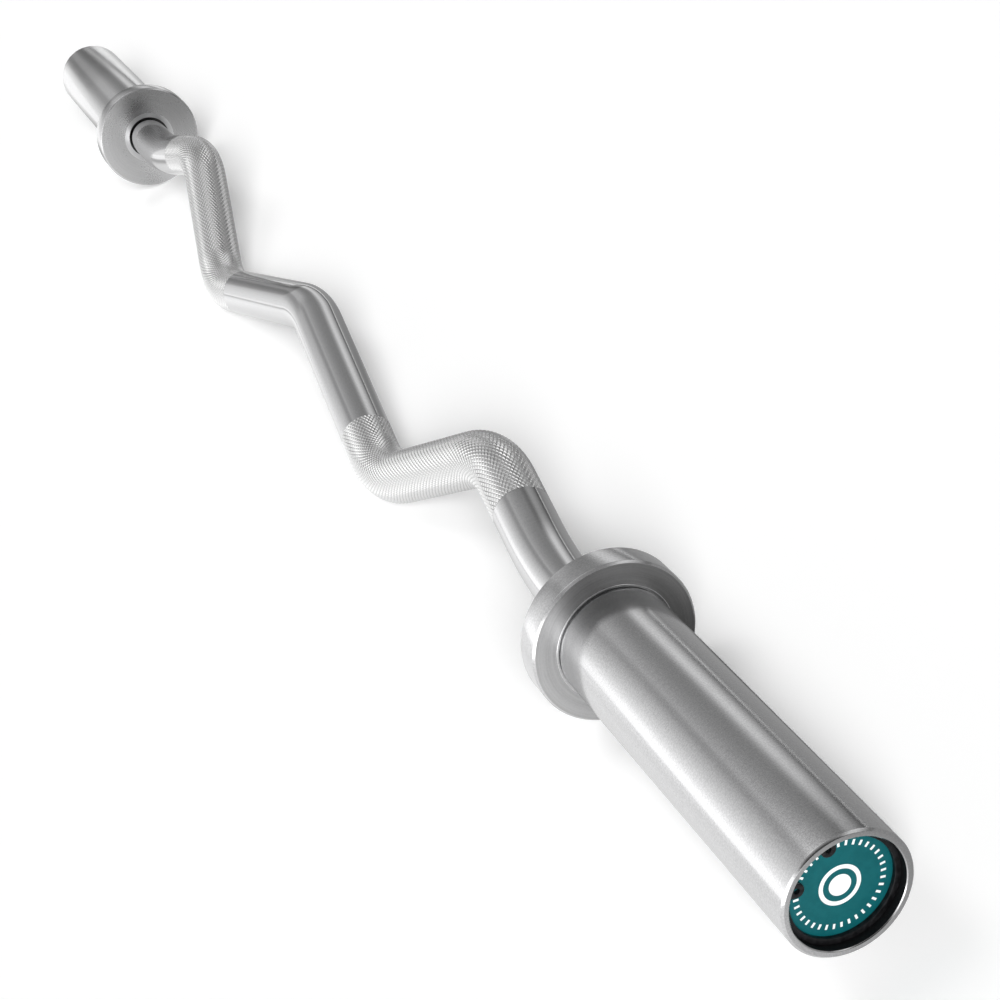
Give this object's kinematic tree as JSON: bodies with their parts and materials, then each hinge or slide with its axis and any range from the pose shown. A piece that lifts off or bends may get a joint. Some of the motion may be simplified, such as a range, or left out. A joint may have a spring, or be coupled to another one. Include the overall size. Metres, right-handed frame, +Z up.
{
  "type": "ez curl bar",
  "caption": "Ez curl bar: a zigzag bent steel shaft with knurled grips, and on either end a plate sleeve with a collar that spins freely on needle bearings.",
  "frame": {"origin": "on the floor under the middle of the bar, straight below the axis that both sleeves turn about", "axes": "+X along the bar, +Z up; the shaft is rolled to the angle at which its deep bends rest on the floor"},
  "size_m": [1.2, 0.0741, 0.072],
  "materials": {
    "shaft_steel": "satin, with diamond knurling on the two outer grips",
    "satin_chrome": "satin hard chrome",
    "bearing_steel": "ground",
    "seal_rubber": "matte",
    "cap_plastic": "moulded",
    "label_print": "printed disc",
    "spring_steel": "black oxide"
  },
  "bodies": {
    "shaft": {"bent_shaft": "shaft_steel", "left_inner_thrust_washer": "bearing_steel", "left_outer_thrust_washer": "bearing_steel", "left_shaft_retaining_ring": "spring_steel", "right_inner_thrust_washer": "bearing_steel", "right_outer_thrust_washer": "bearing_steel", "right_shaft_retaining_ring": "spring_steel"},
    "left_sleeve": {"left_sleeve": "satin_chrome", "left_collar": "satin_chrome", "left_shaft_seal": "seal_rubber", "left_inner_bearing_cup": "bearing_steel", "left_outer_bearing_cup": "bearing_steel", "left_bearing_spacer": "bearing_steel", "left_end_cap": "cap_plastic", "left_end_cap_label": "label_print", "left_end_cap_snap_ring": "spring_steel"},
    "left_inner_cage": {"left_inner_bearing_cage": "bearing_steel", "left_inner_bearing_needles": "bearing_steel"},
    "left_outer_cage": {"left_outer_bearing_cage": "bearing_steel", "left_outer_bearing_needles": "bearing_steel"},
    "right_sleeve": {"right_sleeve": "satin_chrome", "right_collar": "satin_chrome", "right_shaft_seal": "seal_rubber", "right_inner_bearing_cup": "bearing_steel", "right_outer_bearing_cup": "bearing_steel", "right_bearing_spacer": "bearing_steel", "right_end_cap": "cap_plastic", "right_end_cap_label": "label_print", "right_end_cap_snap_ring": "spring_steel"},
    "right_inner_cage": {"right_inner_bearing_cage": "bearing_steel", "right_inner_bearing_needles": "bearing_steel"},
    "right_outer_cage": {"right_outer_bearing_cage": "bearing_steel", "right_outer_bearing_needles": "bearing_steel"}
  },
  "joints": [
    {"name": "left_sleeve_spin", "type": "hinge", "parent": "shaft", "child": "left_sleeve", "pos_m": [-0.5, 0, 0.036], "axis": [1, 0, 0], "continuous": true},
    {"name": "left_inner_cage_spin", "type": "hinge", "parent": "shaft", "child": "left_inner_cage", "pos_m": [-0.5, 0, 0.036], "axis": [1, 0, 0], "continuous": true},
    {"name": "left_outer_cage_spin", "type": "hinge", "parent": "shaft", "child": "left_outer_cage", "pos_m": [-0.5, 0, 0.036], "axis": [1, 0, 0], "continuous": true},
    {"name": "right_sleeve_spin", "type": "hinge", "parent": "shaft", "child": "right_sleeve", "pos_m": [0.5, 0, 0.036], "axis": [1, 0, 0], "continuous": true},
    {"name": "right_inner_cage_spin", "type": "hinge", "parent": "shaft", "child": "right_inner_cage", "pos_m": [0.5, 0, 0.036], "axis": [1, 0, 0], "continuous": true},
    {"name": "right_outer_cage_spin", "type": "hinge", "parent": "shaft", "child": "right_outer_cage", "pos_m": [0.5, 0, 0.036], "axis": [1, 0, 0], "continuous": true}
  ],
  "couplings": [
    {"joint": "left_inner_cage_spin", "follows": "left_sleeve_spin", "ratio": 0.54546},
    {"joint": "left_outer_cage_spin", "follows": "left_sleeve_spin", "ratio": 0.54546},
    {"joint": "right_inner_cage_spin", "follows": "right_sleeve_spin", "ratio": 0.54546},
    {"joint": "right_outer_cage_spin", "follows": "right_sleeve_spin", "ratio": 0.54546}
  ]
}
